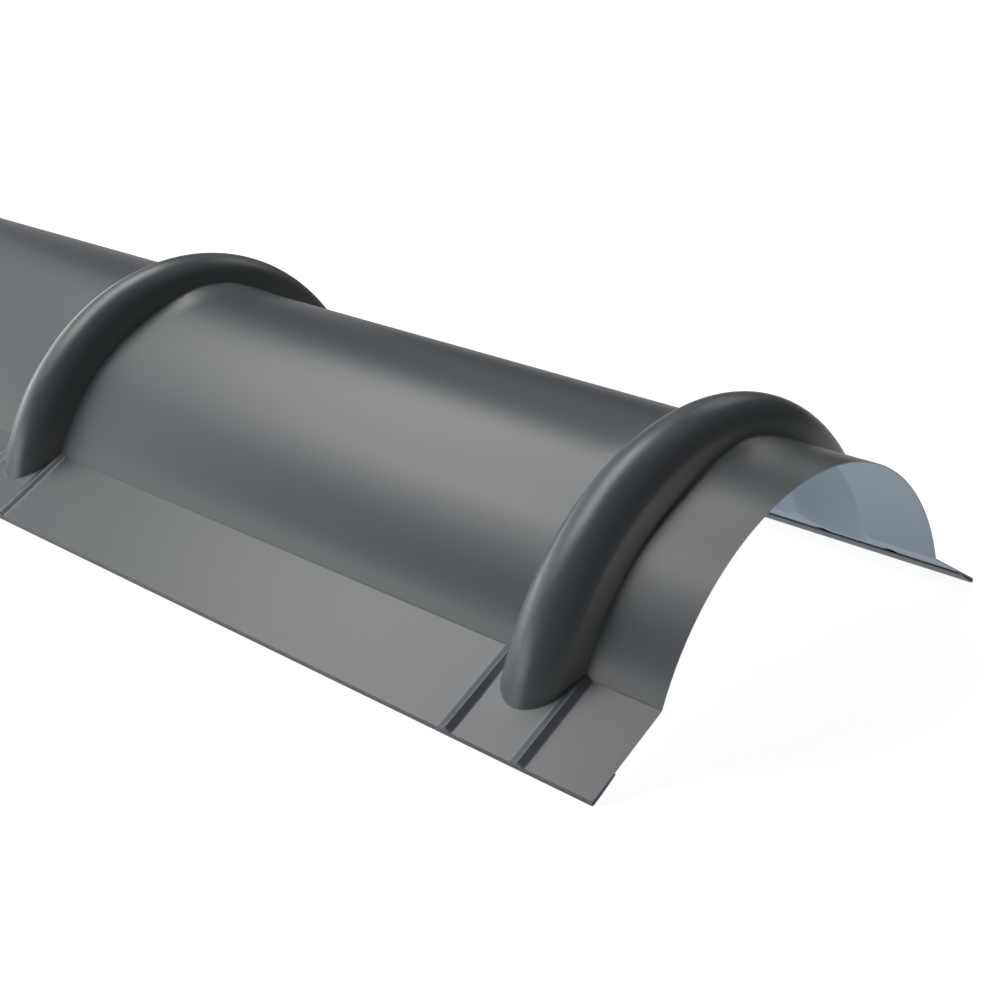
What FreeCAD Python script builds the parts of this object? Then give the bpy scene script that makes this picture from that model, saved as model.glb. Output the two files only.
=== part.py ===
import FreeCAD, Part
import math
import os

from FreeCAD import Vector

# Half-round metal ridge cap, beaded, pressed and folded from one sheet.
# Millimetres. X runs along the ridge, Y across it, Z is up.
# The origin is under the middle of the cap, on the level of the two hems.

# Sheet
SHEET = 0.5

# Arch, as the outside of its section
ARCH_RADIUS = 105.0
ARCH_HALF_ANGLE = 69.3

# Flanges, from the crease outwards, and the open hem under each
FLANGE_SLOPE = 29.6
FLANGE_WIDTH = 44.7
HEM_RETURN = 15.0
HEM_GAP = 1.3

# Stiffening beads across the arch
BEAD_COUNT = 6
BEAD_PITCH = 350.0
END_TAIL = 55.0
BEAD_RADIUS = 16.7
BEAD_HEIGHT = 16.2

# Hollow on each side of a bead, over the arch: its bottom lies a little way out
# from the bead's circle, and the plain arch begins a width farther out
GROOVE_CLEARANCE = 1.75
GROOVE_OFFSET = BEAD_RADIUS + GROOVE_CLEARANCE
GROOVE_WIDTH = 3.5
GROOVE_DEPTH = 1.2

# Fine rib that carries each hollow on over the flange, and the run of its end ramp
# for each millimetre of its height
RIB_HALF_WIDTH = 3.5
RIB_HEIGHT = 1.2
RIB_RUNOUT = 1.0

# Reach of the cutting solids past what they cut, and of a rib's bar into the flange
MARGIN = 10.0
RIB_ROOT = 1.0
HALF_TURN = 180.0

# Length of the cap, and the hem's fold from outside
LENGTH = (BEAD_COUNT - 1) * BEAD_PITCH + 2.0 * END_TAIL
HEM_RADIUS = SHEET + HEM_GAP / 2.0

# Depth below the flange's top face down to which the arch's skins are turned:
# deeper than the back of a hollow, and within the thickness of the hem's return
ARCH_FOOT = 2.0 * HEM_RADIUS - SHEET / 2.0

# The crease, in the arch's section: the arch axis is at 0, 0
CREASE_Y = ARCH_RADIUS * math.sin(math.radians(ARCH_HALF_ANGLE))
CREASE_Z = ARCH_RADIUS * math.cos(math.radians(ARCH_HALF_ANGLE))
SLOPE_SIN = math.sin(math.radians(FLANGE_SLOPE))
SLOPE_COS = math.cos(math.radians(FLANGE_SLOPE))

# Height of the arch axis, so that the hems' undersides lie at Z = 0
AXIS_Z = (FLANGE_WIDTH - HEM_RADIUS) * SLOPE_SIN + HEM_RADIUS * (SLOPE_COS + 1.0) - CREASE_Z
AXIS_POINT = Vector(0.0, 0.0, AXIS_Z)
AXIS_DIRECTION = Vector(-1.0, 0.0, 0.0)

# Profile points are (distance along the ridge, height above the plain sheet).
# A hollow's wall beside the bead rises straight into the bead's circle.
BEAD_CENTRE = (0.0, BEAD_HEIGHT - BEAD_RADIUS)
GROOVE_LIP = (GROOVE_OFFSET + GROOVE_WIDTH, 0.0)
GROOVE_BOTTOM = (GROOVE_OFFSET, -GROOVE_DEPTH)
PLAIN_SHEET = (GROOVE_OFFSET + 2.0 * GROOVE_WIDTH, 0.0)

# A rib is an upturned V, measured from its own middle
RIB_FOOT = (RIB_HALF_WIDTH, 0.0)
RIB_CREST = (0.0, RIB_HEIGHT)
RIB_FAR_FOOT = (-RIB_HALF_WIDTH, 0.0)


def bead_stations():
    """X of each bead's middle."""
    first = -(BEAD_COUNT - 1) * BEAD_PITCH / 2.0
    return [first + number * BEAD_PITCH for number in range(BEAD_COUNT)]


def flank_top():
    """Where the straight wall from the hollow's bottom touches the bead's circle."""
    across = GROOVE_BOTTOM[0] - BEAD_CENTRE[0]
    down = GROOVE_BOTTOM[1] - BEAD_CENTRE[1]
    angle = math.atan2(down, across) + math.acos(BEAD_RADIUS / math.hypot(across, down))
    return (
        BEAD_CENTRE[0] + BEAD_RADIUS * math.cos(angle),
        BEAD_CENTRE[1] + BEAD_RADIUS * math.sin(angle),
    )


def inward(start, goal):
    """Unit normal into the sheet of a wall that is followed towards the bead."""
    run = goal[0] - start[0]
    rise = goal[1] - start[1]
    length = math.hypot(run, rise)
    return (-rise / length, run / length)


def inset_corner(before, corner, after, inset):
    """A corner of the sheet's top face, carried in to a skin that lies inset below it."""
    first = inward(before, corner)
    second = inward(corner, after)
    stretch = inset / (1.0 + first[0] * second[0] + first[1] * second[1])
    return (
        corner[0] + stretch * (first[0] + second[0]),
        corner[1] + stretch * (first[1] + second[1]),
    )


def bead_side(inset):
    """The lip, the hollow's bottom and the top of the flank, on a bead's +X side."""
    top = flank_top()
    normal = inward(GROOVE_BOTTOM, top)
    return [
        inset_corner(PLAIN_SHEET, GROOVE_LIP, GROOVE_BOTTOM, inset),
        inset_corner(GROOVE_LIP, GROOVE_BOTTOM, top, inset),
        (top[0] + inset * normal[0], top[1] + inset * normal[1]),
    ]


def line(start, goal):
    """Straight edge."""
    return Part.LineSegment(start, goal).toShape()


def arch_place(x, height):
    """A profile point on the arch's section plane, from which the arch is turned."""
    return Vector(x, -(ARCH_RADIUS + height), AXIS_Z)


def arch_skin(inset, reach):
    """Edges of the skin line along the ridge: plain stretches, hollows and bead crowns.

    The crowns are circular arcs in spline form, which are cheaper to facet than rings.
    """
    side = bead_side(inset)
    edges = []
    here = arch_place(-reach, -inset)
    for station in bead_stations():
        for x, height in side:
            goal = arch_place(station - x, height)
            edges.append(line(here, goal))
            here = goal
        crown = arch_place(station, BEAD_HEIGHT - inset)
        x, height = side[-1]
        goal = arch_place(station + x, height)
        edges.append(Part.Arc(here, crown, goal).toBSpline().toShape())
        here = goal
        for x, height in reversed(side[:-1]):
            goal = arch_place(station + x, height)
            edges.append(line(here, goal))
            here = goal
    edges.append(line(here, arch_place(reach, -inset)))
    return edges


def arch_solid(inset, reach):
    """Everything under the arch's skin, beads and hollows included, turned over the top."""
    corners = [
        arch_place(reach, -inset),
        arch_place(reach, -ARCH_RADIUS),
        arch_place(-reach, -ARCH_RADIUS),
        arch_place(-reach, -inset),
    ]
    edges = arch_skin(inset, reach)
    edges += [line(start, goal) for start, goal in zip(corners, corners[1:])]
    face = Part.Face(Part.Wire(edges))
    turned = face.revolve(AXIS_POINT, AXIS_DIRECTION, HALF_TURN)
    return turned.common(above_foot(reach))


def section_point(along, off, x=0.0):
    """A point of the +Y flange: along its top face from the crease, off it outwards."""
    y = CREASE_Y + along * SLOPE_COS + off * SLOPE_SIN
    z = CREASE_Z - along * SLOPE_SIN + off * SLOPE_COS
    return Vector(x, y, z + AXIS_Z)


def drawn_out(edges, reach):
    """A closed section in the YZ plane, drawn out to both sides along the ridge."""
    face = Part.Face(Part.Wire(edges))
    face.translate(Vector(-reach, 0.0, 0.0))
    return face.extrude(Vector(2.0 * reach, 0.0, 0.0))


def above_foot(reach):
    """The space over the foot's depth under both flanges, where the arch and the noses are."""
    far = 2.0 * ARCH_RADIUS
    edge = section_point(far, -ARCH_FOOT)
    ridge = section_point(-CREASE_Y / SLOPE_COS, -ARCH_FOOT)
    corners = [
        Vector(0.0, 0.0, ridge.z + ridge.y * SLOPE_SIN / SLOPE_COS),
        edge,
        Vector(0.0, edge.y, far),
        Vector(0.0, -edge.y, far),
        Vector(0.0, -edge.y, edge.z),
    ]
    edges = [line(start, goal) for start, goal in zip(corners, corners[1:] + corners[:1])]
    return drawn_out(edges, reach + MARGIN)


def inner_end(extra):
    """How far a flange's solid reaches in under the arch, measured from the crease."""
    return -(ARCH_RADIUS / 2.0 + extra)


def hem_outside(reach):
    """Band as thick as the closed hem, with the fold's round nose."""
    start = inner_end(0.0)
    turn = FLANGE_WIDTH - HEM_RADIUS
    low = -2.0 * HEM_RADIUS
    nose = Part.Arc(
        section_point(turn, 0.0),
        section_point(FLANGE_WIDTH, -HEM_RADIUS),
        section_point(turn, low),
    )
    edges = [
        line(section_point(start, 0.0), section_point(turn, 0.0)),
        nose.toShape(),
        line(section_point(turn, low), section_point(start, low)),
        line(section_point(start, low), section_point(start, 0.0)),
    ]
    return drawn_out(edges, reach)


def hem_inside(reach):
    """The air under the flange: the gap inside the hem, and the open space before it."""
    start = inner_end(MARGIN)
    turn = FLANGE_WIDTH - HEM_RADIUS
    lip = FLANGE_WIDTH - HEM_RETURN
    high = -SHEET
    low = SHEET - 2.0 * HEM_RADIUS
    floor = low - SHEET - MARGIN
    fold = Part.Arc(
        section_point(turn, high),
        section_point(FLANGE_WIDTH - SHEET, -HEM_RADIUS),
        section_point(turn, low),
    )
    edges = [
        line(section_point(start, high), section_point(turn, high)),
        fold.toShape(),
        line(section_point(turn, low), section_point(lip, low)),
        line(section_point(lip, low), section_point(lip, floor)),
        line(section_point(lip, floor), section_point(start, floor)),
        line(section_point(start, floor), section_point(start, high)),
    ]
    return drawn_out(edges, reach)


def flange_ribs(inset):
    """The ribs' bars along the +Y flange, each with an end ramp just before the fold.

    A skin that lies inset below the top face has its bars that much lower and shorter.
    """
    crest = inset_corner(RIB_FOOT, RIB_CREST, RIB_FAR_FOOT, inset)
    half_width = (crest[1] + RIB_ROOT) * RIB_HALF_WIDTH / RIB_HEIGHT
    corners = [(-half_width, -RIB_ROOT), crest, (half_width, -RIB_ROOT)]
    start = inner_end(2.0 * MARGIN)
    end = FLANGE_WIDTH - HEM_RADIUS - SHEET - inset * math.hypot(1.0, RIB_RUNOUT)
    bars = []
    for station in bead_stations():
        for middle in (station - GROOVE_OFFSET, station + GROOVE_OFFSET):
            tip = [
                section_point(end - RIB_RUNOUT * height, height, middle + x)
                for x, height in corners
            ]
            face = Part.Face(Part.makePolygon(tip + tip[:1]))
            bars.append(face.extrude(section_point(start, 0.0) - section_point(end, 0.0)))
    return bars


def both_sides(solid):
    """A solid of the +Y side and its mirror image."""
    return [solid, solid.mirror(Vector(0.0, 0.0, 0.0), Vector(0.0, 1.0, 0.0))]


def under_top_face():
    """All that lies under the sheet's top face, closed hems included."""
    reach = LENGTH / 2.0
    flange = hem_outside(reach).fuse(flange_ribs(0.0))
    return arch_solid(0.0, reach).fuse(both_sides(flange))


def under_back_face():
    """All that lies under the sheet's back face, past both open ends."""
    reach = LENGTH / 2.0 + MARGIN
    flange = hem_inside(reach).fuse(flange_ribs(SHEET))
    return arch_solid(SHEET, reach).fuse(both_sides(flange))


def ridge_cap():
    """The folded sheet: what is under its top face, less what is under its back face."""
    return under_top_face().cut(under_back_face()).removeSplitter()


def main():
    """Builds the cap and writes it out."""
    os.makedirs("parts", exist_ok=True)
    shape = ridge_cap()
    print("solids", len(shape.Solids), "valid", shape.isValid(), "faces", len(shape.Faces))
    print("volume", shape.Volume, "box", shape.BoundBox)
    shape.Solids[0].exportStep("parts/ridge_cap.step")


main()
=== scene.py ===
"""Looks of a beaded half-round metal ridge cap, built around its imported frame.

Metres. X runs along the ridge, Y across it, Z is up, and the floor is at Z = 0.
"""

import logging
import math
from dataclasses import dataclass, field
from enum import Enum, IntEnum
from typing import Any, Mapping, Sequence

import bpy
import numpy as np
from mathutils import Matrix, Vector


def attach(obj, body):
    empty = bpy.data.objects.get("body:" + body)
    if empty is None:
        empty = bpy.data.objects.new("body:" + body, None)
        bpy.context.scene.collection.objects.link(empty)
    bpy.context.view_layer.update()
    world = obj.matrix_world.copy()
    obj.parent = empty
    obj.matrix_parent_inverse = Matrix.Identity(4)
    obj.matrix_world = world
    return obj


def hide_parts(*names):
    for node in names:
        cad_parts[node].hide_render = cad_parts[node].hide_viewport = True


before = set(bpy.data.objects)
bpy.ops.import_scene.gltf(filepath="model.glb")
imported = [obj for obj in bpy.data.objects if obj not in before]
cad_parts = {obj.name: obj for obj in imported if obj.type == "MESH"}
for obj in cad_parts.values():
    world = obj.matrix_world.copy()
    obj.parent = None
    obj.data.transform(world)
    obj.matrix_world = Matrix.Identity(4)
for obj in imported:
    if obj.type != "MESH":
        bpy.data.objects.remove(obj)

LOG = logging.getLogger("ridge_cap")
MM = 0.001
ROOT_BODY = "root"
CAP_NODE = "ridge_cap"
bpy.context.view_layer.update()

Colour = tuple[float, float, float]
Point = tuple[float, float, float]


class Side(IntEnum):
    """Which finish a face of the sheet shows, as its material's place in the mesh."""

    TOP = 0
    BACK = 1
    CUT = 2


class Facing(Enum):
    """What a lamp gives, as the log says it: the main light, or light on the far side."""

    KEY = "key"
    FILL = "fill"


class Scalar:
    """A number socket of a shader tree that takes part in Python expressions."""

    def __init__(self, tree: "ShaderTree", socket: bpy.types.NodeSocket) -> None:
        """Keeps the tree and the socket that holds the value."""
        self.tree = tree
        self.socket = socket

    def _with(self, operation: str, first: Any, second: Any) -> "Scalar":
        """Adds a Math node.

        Args:
            operation: The node's operation.
            first: A number or a Scalar.
            second: A number or a Scalar.

        Returns:
            The node's result.
        """
        return self.tree.number(
            "ShaderNodeMath", {"operation": operation}, {0: first, 1: second}
        )

    def __add__(self, other: Any) -> "Scalar":
        """Sum."""
        return self._with("ADD", self, other)

    def __radd__(self, other: Any) -> "Scalar":
        """Sum, with the number first."""
        return self._with("ADD", other, self)

    def __sub__(self, other: Any) -> "Scalar":
        """Difference."""
        return self._with("SUBTRACT", self, other)

    def __rsub__(self, other: Any) -> "Scalar":
        """Difference, with the number first."""
        return self._with("SUBTRACT", other, self)

    def __mul__(self, other: Any) -> "Scalar":
        """Product."""
        return self._with("MULTIPLY", self, other)

    def __rmul__(self, other: Any) -> "Scalar":
        """Product, with the number first."""
        return self._with("MULTIPLY", other, self)


class ShaderTree:
    """The node tree of one material or of the world."""

    def __init__(self, tree: bpy.types.NodeTree) -> None:
        """Empties the tree.

        Args:
            tree: The node tree of a material or world that uses nodes.
        """
        self.tree = tree
        self.tree.nodes.clear()

    def node(
        self,
        kind: str,
        settings: Mapping[str, Any] | None = None,
        inputs: Mapping[Any, Any] | None = None,
    ) -> bpy.types.Node:
        """Adds a node.

        Args:
            kind: The node's type.
            settings: Properties to set first, by name.
            inputs: Values, sockets or Scalars for the node's inputs, by name or place.

        Returns:
            The new node.
        """
        made = self.tree.nodes.new(kind)
        for name, value in (settings or {}).items():
            setattr(made, name, value)
        for name, value in (inputs or {}).items():
            socket = made.inputs[name]
            if isinstance(value, Scalar):
                self.tree.links.new(value.socket, socket)
            elif isinstance(value, bpy.types.NodeSocket):
                self.tree.links.new(value, socket)
            else:
                socket.default_value = value
        return made

    def number(
        self,
        kind: str,
        settings: Mapping[str, Any] | None = None,
        inputs: Mapping[Any, Any] | None = None,
        output: int | str = 0,
    ) -> Scalar:
        """Adds a node and gives one of its outputs as a number for expressions.

        Args:
            kind: The node's type.
            settings: Properties to set first, by name.
            inputs: Values, sockets or Scalars for the node's inputs, by name or place.
            output: The output's place or name.

        Returns:
            The output's value.
        """
        return Scalar(self, self.node(kind, settings, inputs).outputs[output])

    def seen_by_camera(self) -> Scalar:
        """1 where the camera sees a surface directly, 0 for every other ray."""
        return self.number("ShaderNodeLightPath", output="Is Camera Ray")

    def noise(self, scale: float, detail: float, stretch: Point = (1.0, 1.0, 1.0)) -> Scalar:
        """Noise on Object coordinates.

        Args:
            scale: Waves to a metre.
            detail: Octaves of finer noise.
            stretch: Factor on each coordinate: under 1 makes the waves longer that way.

        Returns:
            The noise, about 0.5 in the mean.
        """
        place = self.node("ShaderNodeTexCoord").outputs["Object"]
        turned = self.node("ShaderNodeMapping", None, {"Vector": place, "Scale": stretch})
        waves = {"Vector": turned.outputs["Vector"], "Scale": scale, "Detail": detail}
        return self.number("ShaderNodeTexNoise", {"noise_dimensions": "3D"}, waves)

    def blend(self, factor: Scalar, first: Colour, second: Colour) -> bpy.types.NodeSocket:
        """Mixes two colours.

        Args:
            factor: Share of the second colour.
            first: Colour where the factor is 0.
            second: Colour where the factor is 1.

        Returns:
            The mixed colour's socket.
        """
        settings = {"data_type": "RGBA", "clamp_factor": True}
        inputs = {0: factor, 6: (*first, 1.0), 7: (*second, 1.0)}
        return self.node("ShaderNodeMix", settings, inputs).outputs[2]


def shade(colour: Colour, factor: float) -> Colour:
    """A colour times a factor."""
    return tuple(part * factor for part in colour)


@dataclass(frozen=True)
class CoatFinish:
    """A rolled and baked paint coat: satin, with faint orange peel and cloudy tone."""

    name: str
    colour: Colour
    roughness: float
    tone: float = 0.05
    roughness_spread: float = 0.05
    ior: float = 1.5
    cloud_waves: float = 9.0
    cloud_detail: float = 3.0
    cloud_stretch: Point = (0.12, 1.0, 1.0)
    cloud_share: float = 0.8
    grain_waves: float = 2400.0
    grain_detail: float = 1.0
    grain_height: float = 0.004 * MM
    peel_waves: float = 420.0
    peel_detail: float = 2.0
    peel_height: float = 0.010 * MM

    def build(self) -> bpy.types.Material:
        """Makes the material.

        The tone clouds along the rolling direction, the roughness follows a fine grain,
        and grain and orange peel together lift the surface by some thousandths of a
        millimetre.

        Returns:
            The material.
        """
        material = bpy.data.materials.new(self.name)
        material.use_nodes = True
        tree = ShaderTree(material.node_tree)
        clouds = tree.noise(self.cloud_waves, self.cloud_detail, self.cloud_stretch)
        grain = tree.noise(self.grain_waves, self.grain_detail)
        peel = tree.noise(self.peel_waves, self.peel_detail)
        tone = tree.blend(
            clouds * self.cloud_share + grain * (1.0 - self.cloud_share),
            shade(self.colour, 1.0 - self.tone),
            shade(self.colour, 1.0 + self.tone),
        )
        spread = (clouds + grain - 1.0) * self.roughness_spread
        relief = grain * self.grain_height + peel * self.peel_height
        bump = tree.node("ShaderNodeBump", None, {"Distance": 1.0, "Height": relief})
        shader = tree.node(
            "ShaderNodeBsdfPrincipled",
            None,
            {
                "Base Color": tone,
                "Roughness": spread + self.roughness,
                "IOR": self.ior,
                "Normal": bump.outputs["Normal"],
            },
        )
        tree.node("ShaderNodeOutputMaterial", None, {"Surface": shader.outputs["BSDF"]})
        material.diffuse_color = (*self.colour, 1.0)
        return material


@dataclass(frozen=True)
class CutEdgeFinish:
    """The sheared edge of zinc-coated steel: bright, with fine marks across the sheet."""

    name: str
    colour: Colour = (0.38, 0.39, 0.40)
    worn_colour: Colour = (0.24, 0.25, 0.26)
    roughness: float = 0.45
    roughness_spread: float = 0.2
    mark_waves: float = 1500.0
    mark_detail: float = 2.0
    mark_height: float = 0.006 * MM

    def build(self) -> bpy.types.Material:
        """Makes the material: the marks change colour, roughness and relief together.

        Returns:
            The material.
        """
        material = bpy.data.materials.new(self.name)
        material.use_nodes = True
        tree = ShaderTree(material.node_tree)
        marks = tree.noise(self.mark_waves, self.mark_detail)
        relief = marks * self.mark_height
        bump = tree.node("ShaderNodeBump", None, {"Distance": 1.0, "Height": relief})
        shader = tree.node(
            "ShaderNodeBsdfPrincipled",
            None,
            {
                "Base Color": tree.blend(marks, self.worn_colour, self.colour),
                "Metallic": 1.0,
                "Roughness": (marks - 0.5) * self.roughness_spread + self.roughness,
                "Normal": bump.outputs["Normal"],
            },
        )
        tree.node("ShaderNodeOutputMaterial", None, {"Surface": shader.outputs["BSDF"]})
        material.diffuse_color = (*self.colour, 1.0)
        return material


TOP_COAT = CoatFinish("graphite_top_coat", (0.112, 0.126, 0.135), roughness=0.32)
BACK_COAT = CoatFinish(
    "blue_grey_backing_coat",
    (0.530, 0.620, 0.710),
    roughness=0.46,
    tone=0.03,
    cloud_waves=14.0,
    peel_height=0.006 * MM,
)
CUT_EDGE = CutEdgeFinish("sheared_zinc_edge")


@dataclass(frozen=True)
class Swage:
    """A ridge pressed into the sheet: a round crown, two straight flanks, rounded feet."""

    height: float
    crown: float
    foot: float
    slope: float
    crown_steps: int
    foot_steps: int
    flank_steps: int

    @property
    def half_width(self) -> float:
        """Distance from the middle at which the sheet is plain.

        With s the slope and r the radii of crown and foot together, it is r sin s for
        the two arcs and (height - r (1 - cos s)) / tan s for the flank between them.
        """
        both = self.crown + self.foot
        flank = self.height - both * (1.0 - math.cos(self.slope))
        return both * math.sin(self.slope) + flank / math.tan(self.slope)

    def profile(self, distance: np.ndarray) -> np.ndarray:
        """The surface across the ridge.

        With d the distance from the middle and w the half width, the tilt's sine is the
        smallest of d / crown, sin(slope) and (w - d) / foot, and 0 from w on. The height
        is foot (1 - cos tilt) on the foot, height - crown (1 - cos tilt) on the crown,
        and a straight line from one to the other.

        Args:
            distance: Signed distances from the middle.

        Returns:
            Rows of distance, height, and the two parts of the outward normal.
        """
        d = np.abs(distance)
        left = np.maximum(self.half_width - d, 0.0)
        sine = math.sin(self.slope)
        tilt = np.minimum(np.minimum(d / self.crown, sine), left / self.foot)
        upward = np.sqrt(1.0 - tilt**2)
        flank = self.foot * (1.0 - math.cos(self.slope))
        flank = flank + (left - self.foot * sine) * math.tan(self.slope)
        height = np.select(
            [left < self.foot * sine, d < self.crown * sine],
            [self.foot * (1.0 - upward), self.height - self.crown * (1.0 - upward)],
            flank,
        )
        return np.stack([distance, height, np.sign(distance) * tilt, upward], axis=1)

    def bends(self) -> np.ndarray:
        """Distances on the +X side at which crown, flank and foot are drawn.

        Crown and foot go in steps of even tilt, the flank in steps of even length.

        Returns:
            The distances, in no order.
        """
        crown = self.crown * np.sin(np.linspace(0.0, self.slope, self.crown_steps + 1))
        foot = self.foot * np.sin(np.linspace(0.0, self.slope, self.foot_steps + 1))
        foot = self.half_width - foot
        flank = np.linspace(crown[-1], foot[-1], self.flank_steps + 1)[1:-1]
        return np.concatenate([crown, flank, foot])


@dataclass(frozen=True)
class BeadProfile:
    """One pressed bead of the arch, and the two fine ribs that go on over a flange.

    The ribs stand in line with the bead's feet. At the crown of the arch the sheet
    beside the bead swells towards it.
    """

    bead: Swage = Swage(
        height=16.13 * MM,
        crown=16.7 * MM,
        foot=1.0 * MM,
        slope=math.radians(64.0),
        crown_steps=14,
        foot_steps=4,
        flank_steps=4,
    )
    rib: Swage = Swage(
        height=1.25 * MM,
        crown=1.2 * MM,
        foot=3.9 * MM,
        slope=math.radians(21.0),
        crown_steps=3,
        foot_steps=4,
        flank_steps=2,
    )
    rib_middle: float = 18.75 * MM
    swell_height: float = 2.8 * MM
    swell_width: float = 17.0 * MM
    swell_softness: float = 0.75
    swell_spread: float = math.radians(14.0)
    swell_drawn: float = 0.8
    swell_steps: int = 5
    column_gap: float = 0.12 * MM

    @property
    def reach(self) -> float:
        """Distance at which the sheet is plain everywhere."""
        return self.bead.half_width + self.swell_width

    def distances(self) -> np.ndarray:
        """Places of the columns, from -reach to reach.

        They are the bends of the bead and of both flanks of the rib, and even steps over
        the outer, drawn share of the swell. Of two close together only the first stays.

        Returns:
            Sorted distances from the bead's middle, the same on both sides.
        """
        ribs = self.rib.bends()
        swell = np.linspace(0.0, self.swell_drawn, self.swell_steps) * self.swell_width
        right = np.concatenate(
            [self.bead.bends(), self.rib_middle + ribs, self.rib_middle - ribs, self.reach - swell]
        )
        right = np.sort(right)
        right = right[np.diff(right, prepend=-math.inf) > self.column_gap]
        return np.concatenate([-right[:0:-1], right])

    def ribs(self, distance: np.ndarray) -> np.ndarray:
        """The ribs across a flange.

        Args:
            distance: Signed distances from the bead's middle.

        Returns:
            Rows of distance, height, and the two parts of the outward normal.
        """
        rows = self.rib.profile(np.abs(distance) - self.rib_middle)
        rows[:, 0] = distance
        rows[:, 2] *= np.sign(distance)
        return rows

    def swell(self, rows: np.ndarray) -> np.ndarray:
        """How far the sheet rises above the bead's plain profile at the crown.

        The swell is w = height (1 - u)^2, with u the distance from the bead's foot as a
        share of its width. Bead h and swell join in (h + w + sqrt((h - w)^2 + (k w)^2)) / 2,
        and the gain over h fades up the bead by (1 - h / bead height)^2.

        Args:
            rows: Distance, height and normal of the bead.

        Returns:
            A rise for each row, 0 on the bead's crown and on the plain sheet.
        """
        h = rows[:, 1]
        share = (np.abs(rows[:, 0]) - self.bead.half_width) / self.swell_width
        w = self.swell_height * (1.0 - np.clip(share, 0.0, 1.0)) ** 2
        joined = (h + w + np.sqrt((h - w) ** 2 + (self.swell_softness * w) ** 2)) / 2.0
        return (joined - h) * (1.0 - h / self.bead.height) ** 2


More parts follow.
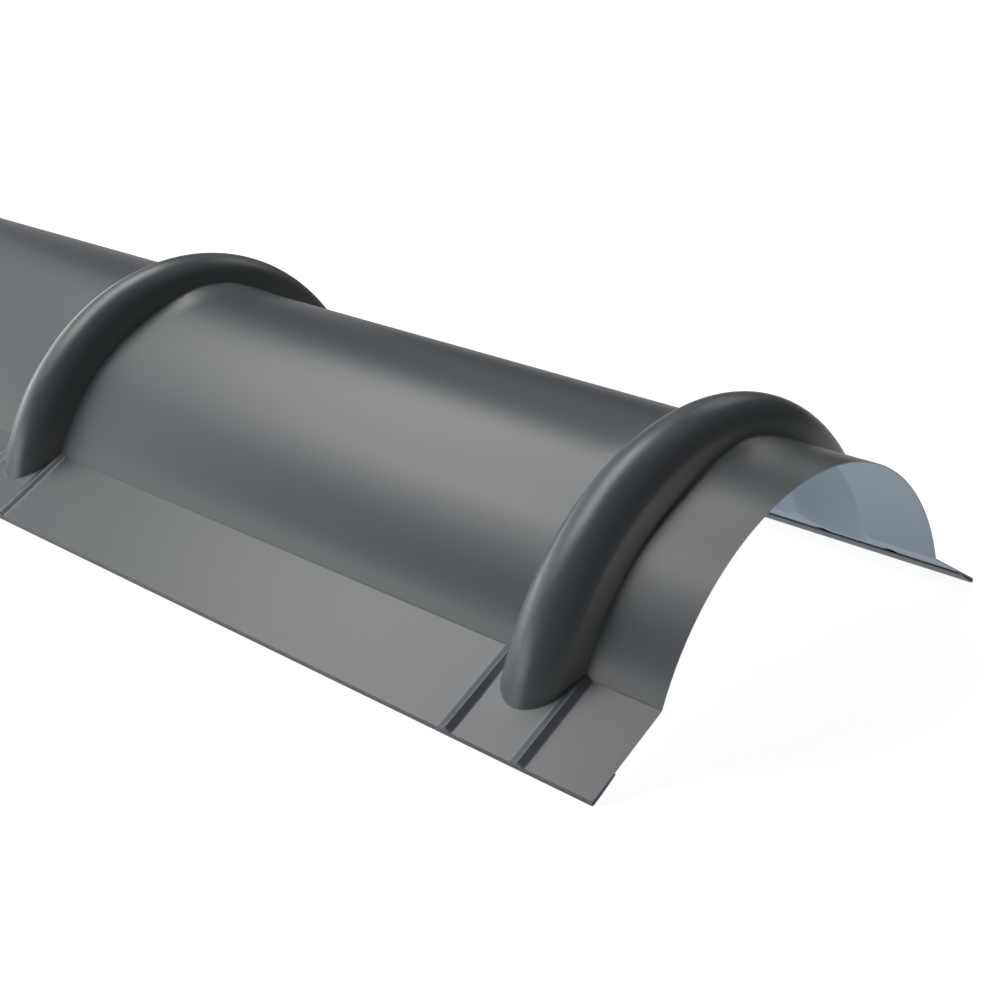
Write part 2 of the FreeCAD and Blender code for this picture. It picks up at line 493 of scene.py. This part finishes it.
@dataclass(frozen=True)
class CapSection:
    """The sheet's section across the ridge: two hems, two flanges and the arch.

    Sizes are of the top coat's skin. The arch's axis is the section's origin.
    """

    thickness: float = 0.5 * MM
    arch_radius: float = 105.0 * MM
    arch_half_angle: float = math.radians(69.3)
    flange_slope: float = math.radians(29.6)
    flange_width: float = 44.7 * MM
    hem_return: float = 15.0 * MM
    hem_radius: float = 1.15 * MM
    hem_closing: float = 0.8 * MM
    rib_end: float = 1.1 * MM
    rib_end_angle: float = math.radians(40.0)
    crease_radius: float = 1.0 * MM
    nose_radius: float = 1.2 * MM
    return_steps: int = 3
    fold_steps: int = 8
    rib_end_steps: int = 4
    flange_steps: int = 2
    crease_steps: int = 4
    arch_steps: int = 24

    @property
    def crease(self) -> np.ndarray:
        """The point where flange and arch would meet in a sharp corner."""
        angle = self.arch_half_angle
        return self.arch_radius * np.array([math.sin(angle), math.cos(angle)])

    @property
    def outwards(self) -> np.ndarray:
        """Direction down the flange."""
        return np.array([math.cos(self.flange_slope), -math.sin(self.flange_slope)])

    @property
    def upwards(self) -> np.ndarray:
        """Direction off the flange's top face."""
        return np.array([math.sin(self.flange_slope), math.cos(self.flange_slope)])

    @property
    def fold_start(self) -> float:
        """How far from the crease the flange goes over into the fold."""
        return self.flange_width - self.hem_radius

    @property
    def axis_height(self) -> float:
        """Height of the arch's axis over the floor that the hems lie on."""
        drop = self.fold_start * math.sin(self.flange_slope)
        return drop + self.hem_radius * (math.cos(self.flange_slope) + 1.0) - self.crease[1]

    @property
    def fold_angles(self) -> np.ndarray:
        """Angles about the fold's axis, from the return up to the flange."""
        return np.linspace(-0.5 * math.pi, 0.5 * math.pi, self.fold_steps + 1)

    @property
    def ramp_steps(self) -> np.ndarray:
        """Distances from the fold of the flange's first rows, where the ribs still rise."""
        return self.rib_end * np.linspace(0.0, 1.0, self.rib_end_steps + 1)[1:]

    def flange_point(self, along: np.ndarray, off: np.ndarray) -> np.ndarray:
        """Points that lie along the flange from the crease, and off its top face."""
        ends = along[..., None] * self.outwards + off[..., None] * self.upwards
        return self.crease + ends

    def rib_rise(self, beyond_fold: np.ndarray) -> np.ndarray:
        """Share of its height that a rib has.

        It is (1 - cos(pi s)) / 2, with s running from 0 to 1 over the rib's end, which
        lies partly on the fold and partly on the flange.

        Args:
            beyond_fold: Distances from the fold's start, negative on the fold.

        Returns:
            Shares from 0 under the fold to 1 on the flange.
        """
        on_fold = self.hem_radius * self.rib_end_angle
        share = np.clip((on_fold + beyond_fold) / (on_fold + self.rib_end), 0.0, 1.0)
        return (1.0 - np.cos(math.pi * share)) / 2.0

    def fold_rise(self) -> np.ndarray:
        """Share of a rib's height on each row of the fold."""
        return self.rib_rise(-self.hem_radius * (0.5 * math.pi - self.fold_angles))

    def flange_rise(self) -> np.ndarray:
        """Share of a rib's height on each row of the flange."""
        return np.concatenate([self.rib_rise(self.ramp_steps), np.ones(self.flange_steps)])

    def rib_shares(self) -> np.ndarray:
        """Share of a rib's height on every row, from the hem's free edge to the crown."""
        above = np.ones(self.crease_steps + self.arch_steps)
        under = np.zeros(self.return_steps)
        return np.concatenate([under, self.fold_rise(), self.flange_rise(), above])

    def arch_shares(self) -> np.ndarray:
        """How much a row follows the arch's profile along the ridge, not the flange's.

        Returns:
            Shares for every row: 0 up to the crease, then rising evenly over it to 1.
        """
        turned = np.linspace(0.0, 1.0, self.crease_steps + 1)[1:]
        below = self.return_steps + len(self.fold_angles) + self.rib_end_steps + self.flange_steps
        return np.concatenate([np.zeros(below), turned, np.ones(self.arch_steps)])

    def return_points(self, inset: float) -> np.ndarray:
        """The hem's return, from its free edge up to the fold.

        It closes towards its free edge by the square of (1 - t), with t running from
        the edge to the fold.

        Args:
            inset: How deep the skin lies below the top coat.

        Returns:
            Points by row, each with Y and Z.
        """
        t = np.linspace(0.0, 1.0, self.return_steps + 1)[:-1]
        along = self.flange_width - self.hem_return + t * (self.hem_return - self.hem_radius)
        off = inset - 2.0 * self.hem_radius + self.hem_closing * (1.0 - t) ** 2
        return self.flange_point(along, off)

    def fold_points(self, lift: np.ndarray, inset: float) -> np.ndarray:
        """The half circle of the hem's fold, with radius r - inset and a rib's share on it.

        Args:
            lift: How far the ribs stand over the plain skin, for each column.
            inset: How deep the skin lies below the top coat.

        Returns:
            Points by column and row, each with Y and Z.
        """
        angle = self.fold_angles
        bend = self.hem_radius + lift[:, None] * self.fold_rise() - inset
        off = bend * np.sin(angle) - self.hem_radius
        return self.flange_point(self.fold_start + bend * np.cos(angle), off)

    def flange_points(self, lift: np.ndarray, inset: float, start: np.ndarray) -> np.ndarray:
        """The flange from the fold up to where the crease's fillet starts.

        Args:
            lift: How far the ribs stand over the plain skin, for each column.
            inset: How deep the skin lies below the top coat.
            start: Distance of the fillet's start down the flange, for each column.

        Returns:
            Points by column and row, each with Y and Z.
        """
        ramp = self.fold_start - self.ramp_steps
        onward = np.linspace(0.0, 1.0, self.flange_steps + 1)[1:]
        plain = ramp[-1] + onward * (start[:, None] - ramp[-1])
        ramps = np.broadcast_to(ramp, (len(start), len(ramp)))
        along = np.concatenate([ramps, plain], axis=1)
        return self.flange_point(along, lift[:, None] * self.flange_rise() - inset)

    def fillet_places(
        self, radius: np.ndarray, level: np.ndarray, fillet: np.ndarray
    ) -> tuple[np.ndarray, np.ndarray]:
        """Where the crease's fillet of radius f starts, and its centre.

        The centre lies f over the flange and R + f from the arch's axis, which gives how
        far down the flange it starts: -P.a + sqrt((P.a)^2 - |P|^2 + (R + f)^2), with a
        the direction down the flange and P the crease lifted by f.

        Args:
            radius: R, the arch's radius, for each column.
            level: How far the skin lies over the flange's top face, for each column.
            fillet: f, for each column.

        Returns:
            Distances down the flange, and centres with Y and Z.
        """
        lifted = self.flange_point(0.0 * level, level + fillet)
        shadow = lifted @ self.outwards
        start = np.sqrt(shadow**2 - (lifted**2).sum(axis=1) + (radius + fillet) ** 2) - shadow
        return start, lifted + start[:, None] * self.outwards

    def crease_points(self, middle: np.ndarray, fillet: np.ndarray) -> np.ndarray:
        """The crease's fillet, from its start on the flange round to its end on the arch.

        Args:
            middle: The fillet's centre, for each column.
            fillet: The fillet's radius, for each column.

        Returns:
            Points by column and row, each with Y and Z.
        """
        first = math.atan2(-self.upwards[1], -self.upwards[0])
        last = np.arctan2(-middle[:, 1], -middle[:, 0])[:, None]
        angle = first + np.linspace(0.0, 1.0, self.crease_steps + 1)[1:] * (last - first)
        turned = np.stack([np.cos(angle), np.sin(angle)], axis=-1)
        return middle[:, None, :] + fillet[:, None, None] * turned

    def arch_angles(self, middle: np.ndarray) -> np.ndarray:
        """Angles from the crown of the arch's rows, evenly from the fillet's end to 0.

        Args:
            middle: The fillet's centre, for each column.

        Returns:
            Angles by column and row.
        """
        foot = np.arctan2(middle[:, 0], middle[:, 1])[:, None]
        return foot * (1.0 - np.linspace(0.0, 1.0, self.arch_steps + 1)[1:])


@dataclass
class RidgeCap:
    """The cap: one coated sheet, pressed with beads and ribs and hemmed at both edges."""

    section: CapSection = field(default_factory=CapSection)
    bead: BeadProfile = field(default_factory=BeadProfile)
    bead_count: int = 6
    bead_pitch: float = 350.0 * MM
    end_tail: float = 55.0 * MM
    plain_steps: int = 6
    end_steps: int = 2

    def stations(self) -> np.ndarray:
        """X of each bead's middle."""
        number = np.arange(self.bead_count)
        return (number - (self.bead_count - 1) / 2.0) * self.bead_pitch

    def columns(self) -> tuple[np.ndarray, np.ndarray, np.ndarray]:
        """The profile along the ridge, on the arch and on the flanges.

        Beads stand at the stations, and plain stretches between them are evenly divided.

        Returns:
            Two arrays of the same length, with rows of X, height over the plain sheet,
            and the two parts of the outward normal, and the swell for each.
        """
        places = self.bead.distances()
        bead = self.bead.bead.profile(places)
        ribs = self.bead.ribs(places)
        end = self.stations()[-1] + self.end_tail
        starts = [-end, *(self.stations() + self.bead.reach)]
        stops = [*(self.stations() - self.bead.reach), end]
        arch, flange, swell = [], [], []
        for number, (start, stop) in enumerate(zip(starts, stops)):
            outer = number in (0, self.bead_count)
            steps = self.end_steps if outer else self.plain_steps
            first = 0 if number == 0 else 1
            last = None if number == self.bead_count else -1
            x = np.linspace(start, stop, steps + 1)[first:last]
            plain = np.stack([x, np.zeros_like(x), np.zeros_like(x), np.ones_like(x)], axis=1)
            arch.append(plain)
            flange.append(plain)
            swell.append(np.zeros_like(x))
            if number < self.bead_count:
                shift = np.array([self.stations()[number], 0.0, 0.0, 0.0])
                arch.append(bead + shift)
                flange.append(ribs + shift)
                swell.append(self.bead.swell(bead))
        return np.vstack(arch), np.vstack(flange), np.concatenate(swell)

    def half_skin(self, inset: float) -> np.ndarray:
        """One face of the sheet from the +Y hem's free edge to the top of the arch.

        Every column follows the section: the hem's return, the fold, the flange with its
        ribs, the crease's fillet, and a circle about the arch's axis with radius
        R + height. The fillet's radius goes from the crease's to the bead's nose as the
        bead rises, and the swell fades down the arch by exp(-(angle / spread)^2).
        A point's X is its column's, less the inset times the X part of the normal, which
        is the ribs' on the flange and the bead's on the arch.

        Args:
            inset: How deep the skin lies below the top coat.

        Returns:
            Points by column and row, each with X, Y and Z.
        """
        cut = self.section
        arch, flange, swell = self.columns()
        radius = cut.arch_radius + arch[:, 1] - inset * arch[:, 3]
        level = flange[:, 1] - inset * flange[:, 3]
        lift = level + inset
        raised = np.clip(arch[:, 1] / self.bead.bead.height, 0.0, 1.0)
        fillet = cut.crease_radius + (cut.nose_radius - cut.crease_radius) * raised + inset
        start, middle = cut.fillet_places(radius, level, fillet)

        hem = cut.return_points(inset)
        angle = cut.arch_angles(middle)
        risen = swell[:, None] * np.exp(-((angle / self.bead.swell_spread) ** 2))
        turned = np.stack([np.sin(angle), np.cos(angle)], axis=-1)
        section = np.concatenate(
            [
                np.broadcast_to(hem, (len(level), *hem.shape)),
                cut.fold_points(lift, inset),
                cut.flange_points(lift, inset, start),
                cut.crease_points(middle, fillet),
                (radius[:, None] + risen)[..., None] * turned,
            ],
            axis=1,
        )
        section[..., 1] += cut.axis_height

        on_ribs = flange[:, :1] - inset * flange[:, 2:3] * cut.rib_shares()
        on_bead = arch[:, :1] - inset * arch[:, 2:3]
        x = on_ribs + (on_bead - on_ribs) * cut.arch_shares()
        return np.concatenate([x[..., None], section], axis=-1)

    def skin(self, inset: float) -> np.ndarray:
        """One face of the sheet from hem to hem: the half and its mirror image.

        Args:
            inset: How deep the skin lies below the top coat.

        Returns:
            Points by column and row, each with X, Y and Z.
        """
        half = self.half_skin(inset)
        mirrored = half[:, -2::-1] * np.array([1.0, -1.0, 1.0])
        return np.concatenate([half, mirrored], axis=1)

    def mesh(self) -> bpy.types.Mesh:
        """Joins the top skin, the back skin and the four strips of cut edge.

        Both skins are the same grid, so that vertex (column, row) of the back lies
        under that of the top, and a strip joins the two along each side of the grid.
        The grid's border is sharp, so that the cut edges stay crisp.

        Returns:
            The closed mesh, with a material place for each face.
        """
        top = self.skin(0.0)
        back = self.skin(self.section.thickness)
        columns, rows = top.shape[:2]
        index = np.arange(columns * rows).reshape(columns, rows)
        lower = index + columns * rows
        quads = np.stack(
            [index[:-1, :-1], index[:-1, 1:], index[1:, 1:], index[1:, :-1]], axis=-1
        ).reshape(-1, 4)
        strips = []
        for over, under, sign in (
            (index[0], lower[0], 1),
            (index[-1], lower[-1], -1),
            (index[:, 0], lower[:, 0], -1),
            (index[:, -1], lower[:, -1], 1),
        ):
            strip = np.stack([over[:-1], under[:-1], under[1:], over[1:]], axis=-1)
            strips.append(strip[:, ::sign])
        faces = [quads, quads[:, ::-1] + columns * rows, *strips]
        finish = np.concatenate(
            [
                np.full(len(quads), Side.TOP),
                np.full(len(quads), Side.BACK),
                np.full(sum(len(strip) for strip in strips), Side.CUT),
            ]
        )
        mesh = bpy.data.meshes.new(CAP_NODE + "_sheet")
        points = np.concatenate([top.reshape(-1, 3), back.reshape(-1, 3)])
        mesh.from_pydata(points.tolist(), [], np.vstack(faces).tolist())
        mesh.polygons.foreach_set("material_index", finish.astype(np.int32))
        mesh.polygons.foreach_set("use_smooth", finish != Side.CUT)
        mesh.update()
        border = np.zeros((columns, rows), dtype=bool)
        border[[0, -1], :] = True
        border[:, [0, -1]] = True
        border = np.tile(border.ravel(), 2)
        ends = np.empty(2 * len(mesh.edges), dtype=np.int32)
        mesh.edges.foreach_get("vertices", ends)
        mesh.edges.foreach_set("use_edge_sharp", border[ends.reshape(-1, 2)].all(axis=1))
        return mesh

    def build(self) -> bpy.types.Object:
        """Makes the cap's object and dresses it.

        Returns:
            The object, riding on the root body in place of the CAD node.
        """
        mesh = self.mesh()
        for finish in (TOP_COAT, BACK_COAT, CUT_EDGE):
            mesh.materials.append(finish.build())
        cap = bpy.data.objects.new("coated_ridge_sheet", mesh)
        bpy.context.scene.collection.objects.link(cap)
        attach(cap, ROOT_BODY)
        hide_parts(CAP_NODE)
        return cap


@dataclass(frozen=True)
class SoftBox:
    """A flat soft lamp that looks at the near end of the cap.

    The azimuth turns from +X towards +Y, the elevation rises from the floor, and a glow
    of 1 shows as white where the lamp is seen in a mirror.
    """

    name: str
    facing: Facing
    azimuth: float
    elevation: float
    distance: float
    width: float
    height: float
    glow: float
    aim: Point = (0.72, 0.0, 0.05)

    def away(self) -> Vector:
        """Unit vector from the aimed point to the lamp."""
        turn, rise = math.radians(self.azimuth), math.radians(self.elevation)
        level = math.cos(rise)
        return Vector((level * math.cos(turn), level * math.sin(turn), math.sin(rise)))

    def build(self) -> bpy.types.Object:
        """Adds the lamp; its power is pi times area times glow.

        Returns:
            The lamp's object.
        """
        data = bpy.data.lights.new(self.name, "AREA")
        data.shape = "RECTANGLE"
        data.size = self.width
        data.size_y = self.height
        data.energy = math.pi * self.width * self.height * self.glow
        lamp = bpy.data.objects.new(self.name, data)
        lamp.location = Vector(self.aim) + self.distance * self.away()
        lamp.rotation_euler = (-self.away()).to_track_quat("-Z", "Y").to_euler()
        lamp.visible_camera = False
        bpy.context.scene.collection.objects.link(lamp)
        return lamp


@dataclass(frozen=True)
class Studio:
    """Floor, air and lamps.

    The floor glows by floor_glow, and by floor_lift more where the camera sees it. The
    air is white to the camera, and its light on the cap is only air_strength.
    """

    white: Colour = (1.0, 1.0, 1.0)
    floor_reach: float = 14.0
    floor_colour: Colour = (0.35, 0.35, 0.35)
    floor_roughness: float = 0.9
    floor_glow: float = 0.38
    floor_lift: float = 0.55
    air_strength: float = 0.01
    lamps: Sequence[SoftBox] = (
        SoftBox("key_high", Facing.KEY, 180.0, 52.0, 3.0, 2.4, 1.1, 4.50),
        SoftBox("key_middle", Facing.KEY, 180.0, 38.0, 3.0, 1.8, 0.7, 1.04),
        SoftBox("key_front", Facing.KEY, 217.0, 46.0, 3.0, 1.2, 1.4, 2.13),
        SoftBox("key_back", Facing.KEY, 145.0, 48.0, 3.0, 1.2, 1.2, 0.47),
        SoftBox("key_low", Facing.KEY, 170.0, 22.0, 3.0, 1.6, 0.8, 0.36),
        SoftBox("low_left", Facing.KEY, 190.0, 5.0, 2.6, 2.2, 0.7, 3.03),
        SoftBox("low_strip", Facing.KEY, 172.0, 4.0, 2.6, 1.4, 0.4, 2.45),
        SoftBox("low_front", Facing.KEY, 238.0, 5.0, 2.6, 1.6, 0.7, 3.80),
        SoftBox("middle_left", Facing.FILL, 202.0, 21.0, 3.0, 1.8, 0.8, 1.33),
        SoftBox("top_back", Facing.FILL, 110.0, 68.0, 2.8, 1.6, 1.0, 0.38),
        SoftBox("back_middle", Facing.FILL, 120.0, 25.0, 3.0, 1.8, 1.0, 0.26),
        SoftBox("back_spot", Facing.FILL, 110.0, 36.0, 3.0, 1.0, 0.8, 1.20),
        SoftBox("end_low", Facing.FILL, 12.0, 6.0, 2.6, 1.2, 0.6, 1.60),
        SoftBox("end_middle", Facing.FILL, 28.0, 12.0, 2.6, 1.4, 0.7, 0.95),
        SoftBox("low_behind", Facing.FILL, 150.0, 5.0, 3.2, 1.6, 0.6, 0.28),
    )

    def build_floor(self) -> bpy.types.Object:
        """Adds a flat pale floor that glows a little, as a lit table does.

        To the camera it looks almost white, and it keeps the cap's shadow.

        Returns:
            The floor's object.
        """
        half = self.floor_reach / 2.0
        corners = [(-half, -half, 0.0), (half, -half, 0.0), (half, half, 0.0), (-half, half, 0.0)]
        mesh = bpy.data.meshes.new("studio_floor")
        mesh.from_pydata(corners, [], [(0, 1, 2, 3)])
        material = bpy.data.materials.new("pale_floor")
        material.use_nodes = True
        tree = ShaderTree(material.node_tree)
        seen = tree.seen_by_camera()
        shader = tree.node(
            "ShaderNodeBsdfPrincipled",
            None,
            {
                "Base Color": (*self.floor_colour, 1.0),
                "Roughness": self.floor_roughness,
                "Emission Color": (*self.white, 1.0),
                "Emission Strength": seen * self.floor_lift + self.floor_glow,
            },
        )
        tree.node("ShaderNodeOutputMaterial", None, {"Surface": shader.outputs["BSDF"]})
        mesh.materials.append(material)
        floor = bpy.data.objects.new("studio_floor", mesh)
        bpy.context.scene.collection.objects.link(floor)
        return floor

    def build_air(self) -> bpy.types.World:
        """Sets the light that comes from all around, with white behind the cap.

        Returns:
            The world.
        """
        world = bpy.data.worlds.new("studio_air")
        world.use_nodes = True
        tree = ShaderTree(world.node_tree)
        seen = tree.seen_by_camera()
        strength = seen * (1.0 - self.air_strength) + self.air_strength
        light = tree.node(
            "ShaderNodeBackground", None, {"Color": (*self.white, 1.0), "Strength": strength}
        )
        tree.node("ShaderNodeOutputWorld", None, {"Surface": light.outputs["Background"]})
        bpy.context.scene.world = world
        return world

    def build(self) -> None:
        """Adds the floor, the air and every lamp."""
        self.build_floor()
        self.build_air()
        for lamp in self.lamps:
            lamp.build()
            LOG.info("lamp %s (%s)", lamp.name, lamp.facing.value)


@dataclass(frozen=True)
class Camera:
    """The viewpoint of the picture: a long lens, looking along the ridge and down at it.

    The turn swings the view from +Y towards -X, the dip lowers it, and the roll turns
    the picture about its own middle.
    """

    place: Point = (1.2594, -0.5401, 0.3201)
    turn: float = math.radians(42.923)
    dip: float = math.radians(21.401)
    roll: float = math.radians(-0.688)
    focal_length: float = 61.12
    sensor: float = 36.0
    nearest: float = 0.02
    farthest: float = 60.0

    def axes(self) -> Matrix:
        """Directions of the picture's right, its top and the way back from it, as columns.

        Returns:
            The camera's rotation.
        """
        ahead = Vector(
            (
                -math.sin(self.turn) * math.cos(self.dip),
                math.cos(self.turn) * math.cos(self.dip),
                -math.sin(self.dip),
            )
        )
        right = Vector((math.cos(self.turn), math.sin(self.turn), 0.0))
        down = ahead.cross(right)
        level = math.cos(self.roll) * right + math.sin(self.roll) * down
        below = math.cos(self.roll) * down - math.sin(self.roll) * right
        return Matrix((level, -below, -ahead)).transposed()

    def build(self) -> bpy.types.Object:
        """Adds the camera and makes it the scene's.

        Returns:
            The camera's object.
        """
        data = bpy.data.cameras.new("picture_camera")
        data.lens = self.focal_length
        data.sensor_width = self.sensor
        data.sensor_fit = "HORIZONTAL"
        data.clip_start = self.nearest
        data.clip_end = self.farthest
        camera = bpy.data.objects.new("picture_camera", data)
        camera.matrix_world = Matrix.Translation(self.place) @ self.axes().to_4x4()
        bpy.context.scene.collection.objects.link(camera)
        bpy.context.scene.camera = camera
        return camera


def main() -> None:
    """Builds the camera, the cap and the studio."""
    logging.basicConfig(level=logging.INFO, format="%(name)s: %(message)s")
    bpy.context.scene.view_settings.view_transform = "Standard"
    Camera().build()
    cap = RidgeCap().build()
    LOG.info("piece %s: %d faces", cap.name, len(cap.data.polygons))
    Studio().build()


if __name__ == "__main__":
    main()
